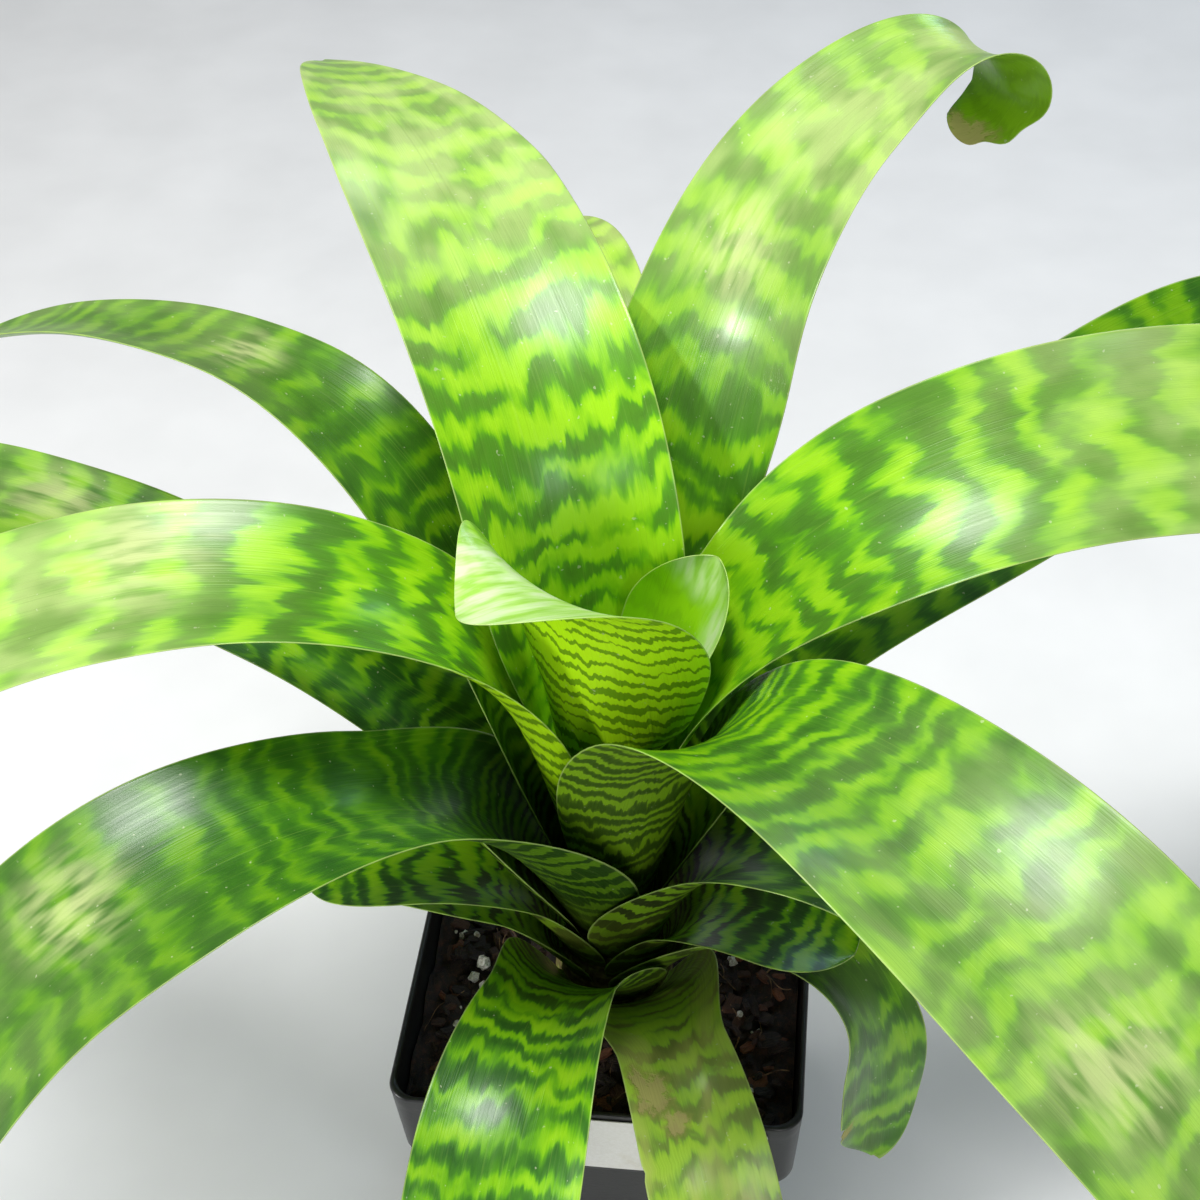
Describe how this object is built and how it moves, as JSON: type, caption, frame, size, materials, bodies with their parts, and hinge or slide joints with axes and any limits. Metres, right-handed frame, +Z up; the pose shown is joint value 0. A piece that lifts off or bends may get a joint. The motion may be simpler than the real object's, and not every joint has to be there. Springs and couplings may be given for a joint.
{
  "type": "potted bromeliad",
  "caption": "King of bromeliads houseplant: funnel of arching banded strap leaves on a short stem, in bark mix in a square black nursery pot.",
  "frame": {"origin": "centre of the pot's underside, where it stands", "axes": "+Z up, -Y towards the front of the pot with the label, +X to the viewer's right"},
  "size_m": [0.4175, 0.3158, 0.3052],
  "materials": {
    "pot_plastic": "semi-gloss black nursery pot plastic",
    "label_paper": "matt white paper label, bare",
    "bark_mix": "matt damp bark and peat mix",
    "stem": "satin plant tissue",
    "leaf": "glossy leathery leaf, lime green with dark green cross bands"
  },
  "bodies": {
    "root": {"pot": "pot_plastic", "label": "label_paper", "soil": "bark_mix", "stem": "stem", "leaf_heart_back": "leaf", "leaf_heart_front": "leaf", "leaf_back_left": "leaf", "leaf_right_upper": "leaf", "leaf_left_upper": "leaf", "leaf_back_right": "leaf", "leaf_back_far_left": "leaf", "leaf_front_right": "leaf", "leaf_back": "leaf", "leaf_right_lower": "leaf", "leaf_left_front": "leaf", "leaf_left_rear": "leaf", "leaf_right_front_high": "leaf", "leaf_left_low_high": "leaf", "leaf_right_front_low": "leaf", "leaf_left_low": "leaf", "leaf_right_low": "leaf", "leaf_front": "leaf", "leaf_front_low": "leaf"}
  },
  "joints": []
}
